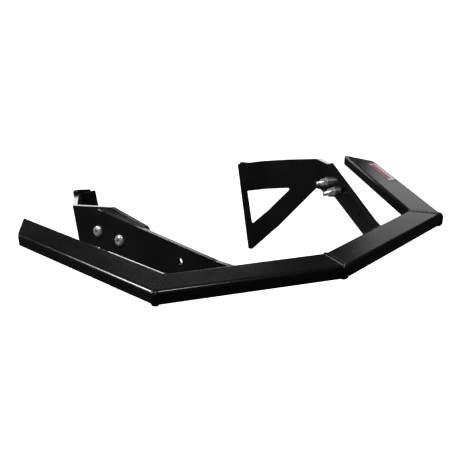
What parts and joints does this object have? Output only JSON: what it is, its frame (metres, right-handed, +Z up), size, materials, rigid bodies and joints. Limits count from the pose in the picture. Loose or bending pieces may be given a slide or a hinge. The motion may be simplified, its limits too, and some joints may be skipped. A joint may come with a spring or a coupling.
{
  "type": "vehicle front bumper bar",
  "caption": "V-nosed flat-tube bumper bar with swept side wings, two upright plate arms and bolted folded mounting brackets.",
  "frame": {"origin": "midway between the two mounting pads' rear faces", "axes": "+X to the right as seen from in front of the vehicle, +Y rearward towards the vehicle, +Z up; the bars lie level"},
  "size_m": [0.9036, 0.7148, 0.3023],
  "materials": {
    "powder_coat": "semi-gloss black powder coat, finely textured",
    "zinc": "bright zinc plating",
    "label": "printed film, no lettering"
  },
  "bodies": {
    "root": {"arm_bolt_front_left": "zinc", "arm_bolt_front_right": "zinc", "arm_bolt_rear_left": "zinc", "arm_bolt_rear_right": "zinc", "arm_left": "powder_coat", "arm_right": "powder_coat", "corner_joint_plate_left": "powder_coat", "corner_joint_plate_right": "powder_coat", "label": "label", "lock_nut_front_left": "zinc", "lock_nut_front_right": "zinc", "lock_nut_rear_left": "zinc", "lock_nut_rear_right": "zinc", "mount_bracket_left": "powder_coat", "mount_bracket_right": "powder_coat", "mount_pad_left": "powder_coat", "mount_pad_right": "powder_coat", "nose_bar_left": "powder_coat", "nose_bar_right": "powder_coat", "nose_joint_plate": "powder_coat", "washer_front_left": "zinc", "washer_front_right": "zinc", "washer_rear_left": "zinc", "washer_rear_right": "zinc", "wing_bar_left": "powder_coat", "wing_bar_right": "powder_coat", "wing_end_cap_left": "powder_coat", "wing_end_cap_right": "powder_coat"}
  },
  "joints": []
}
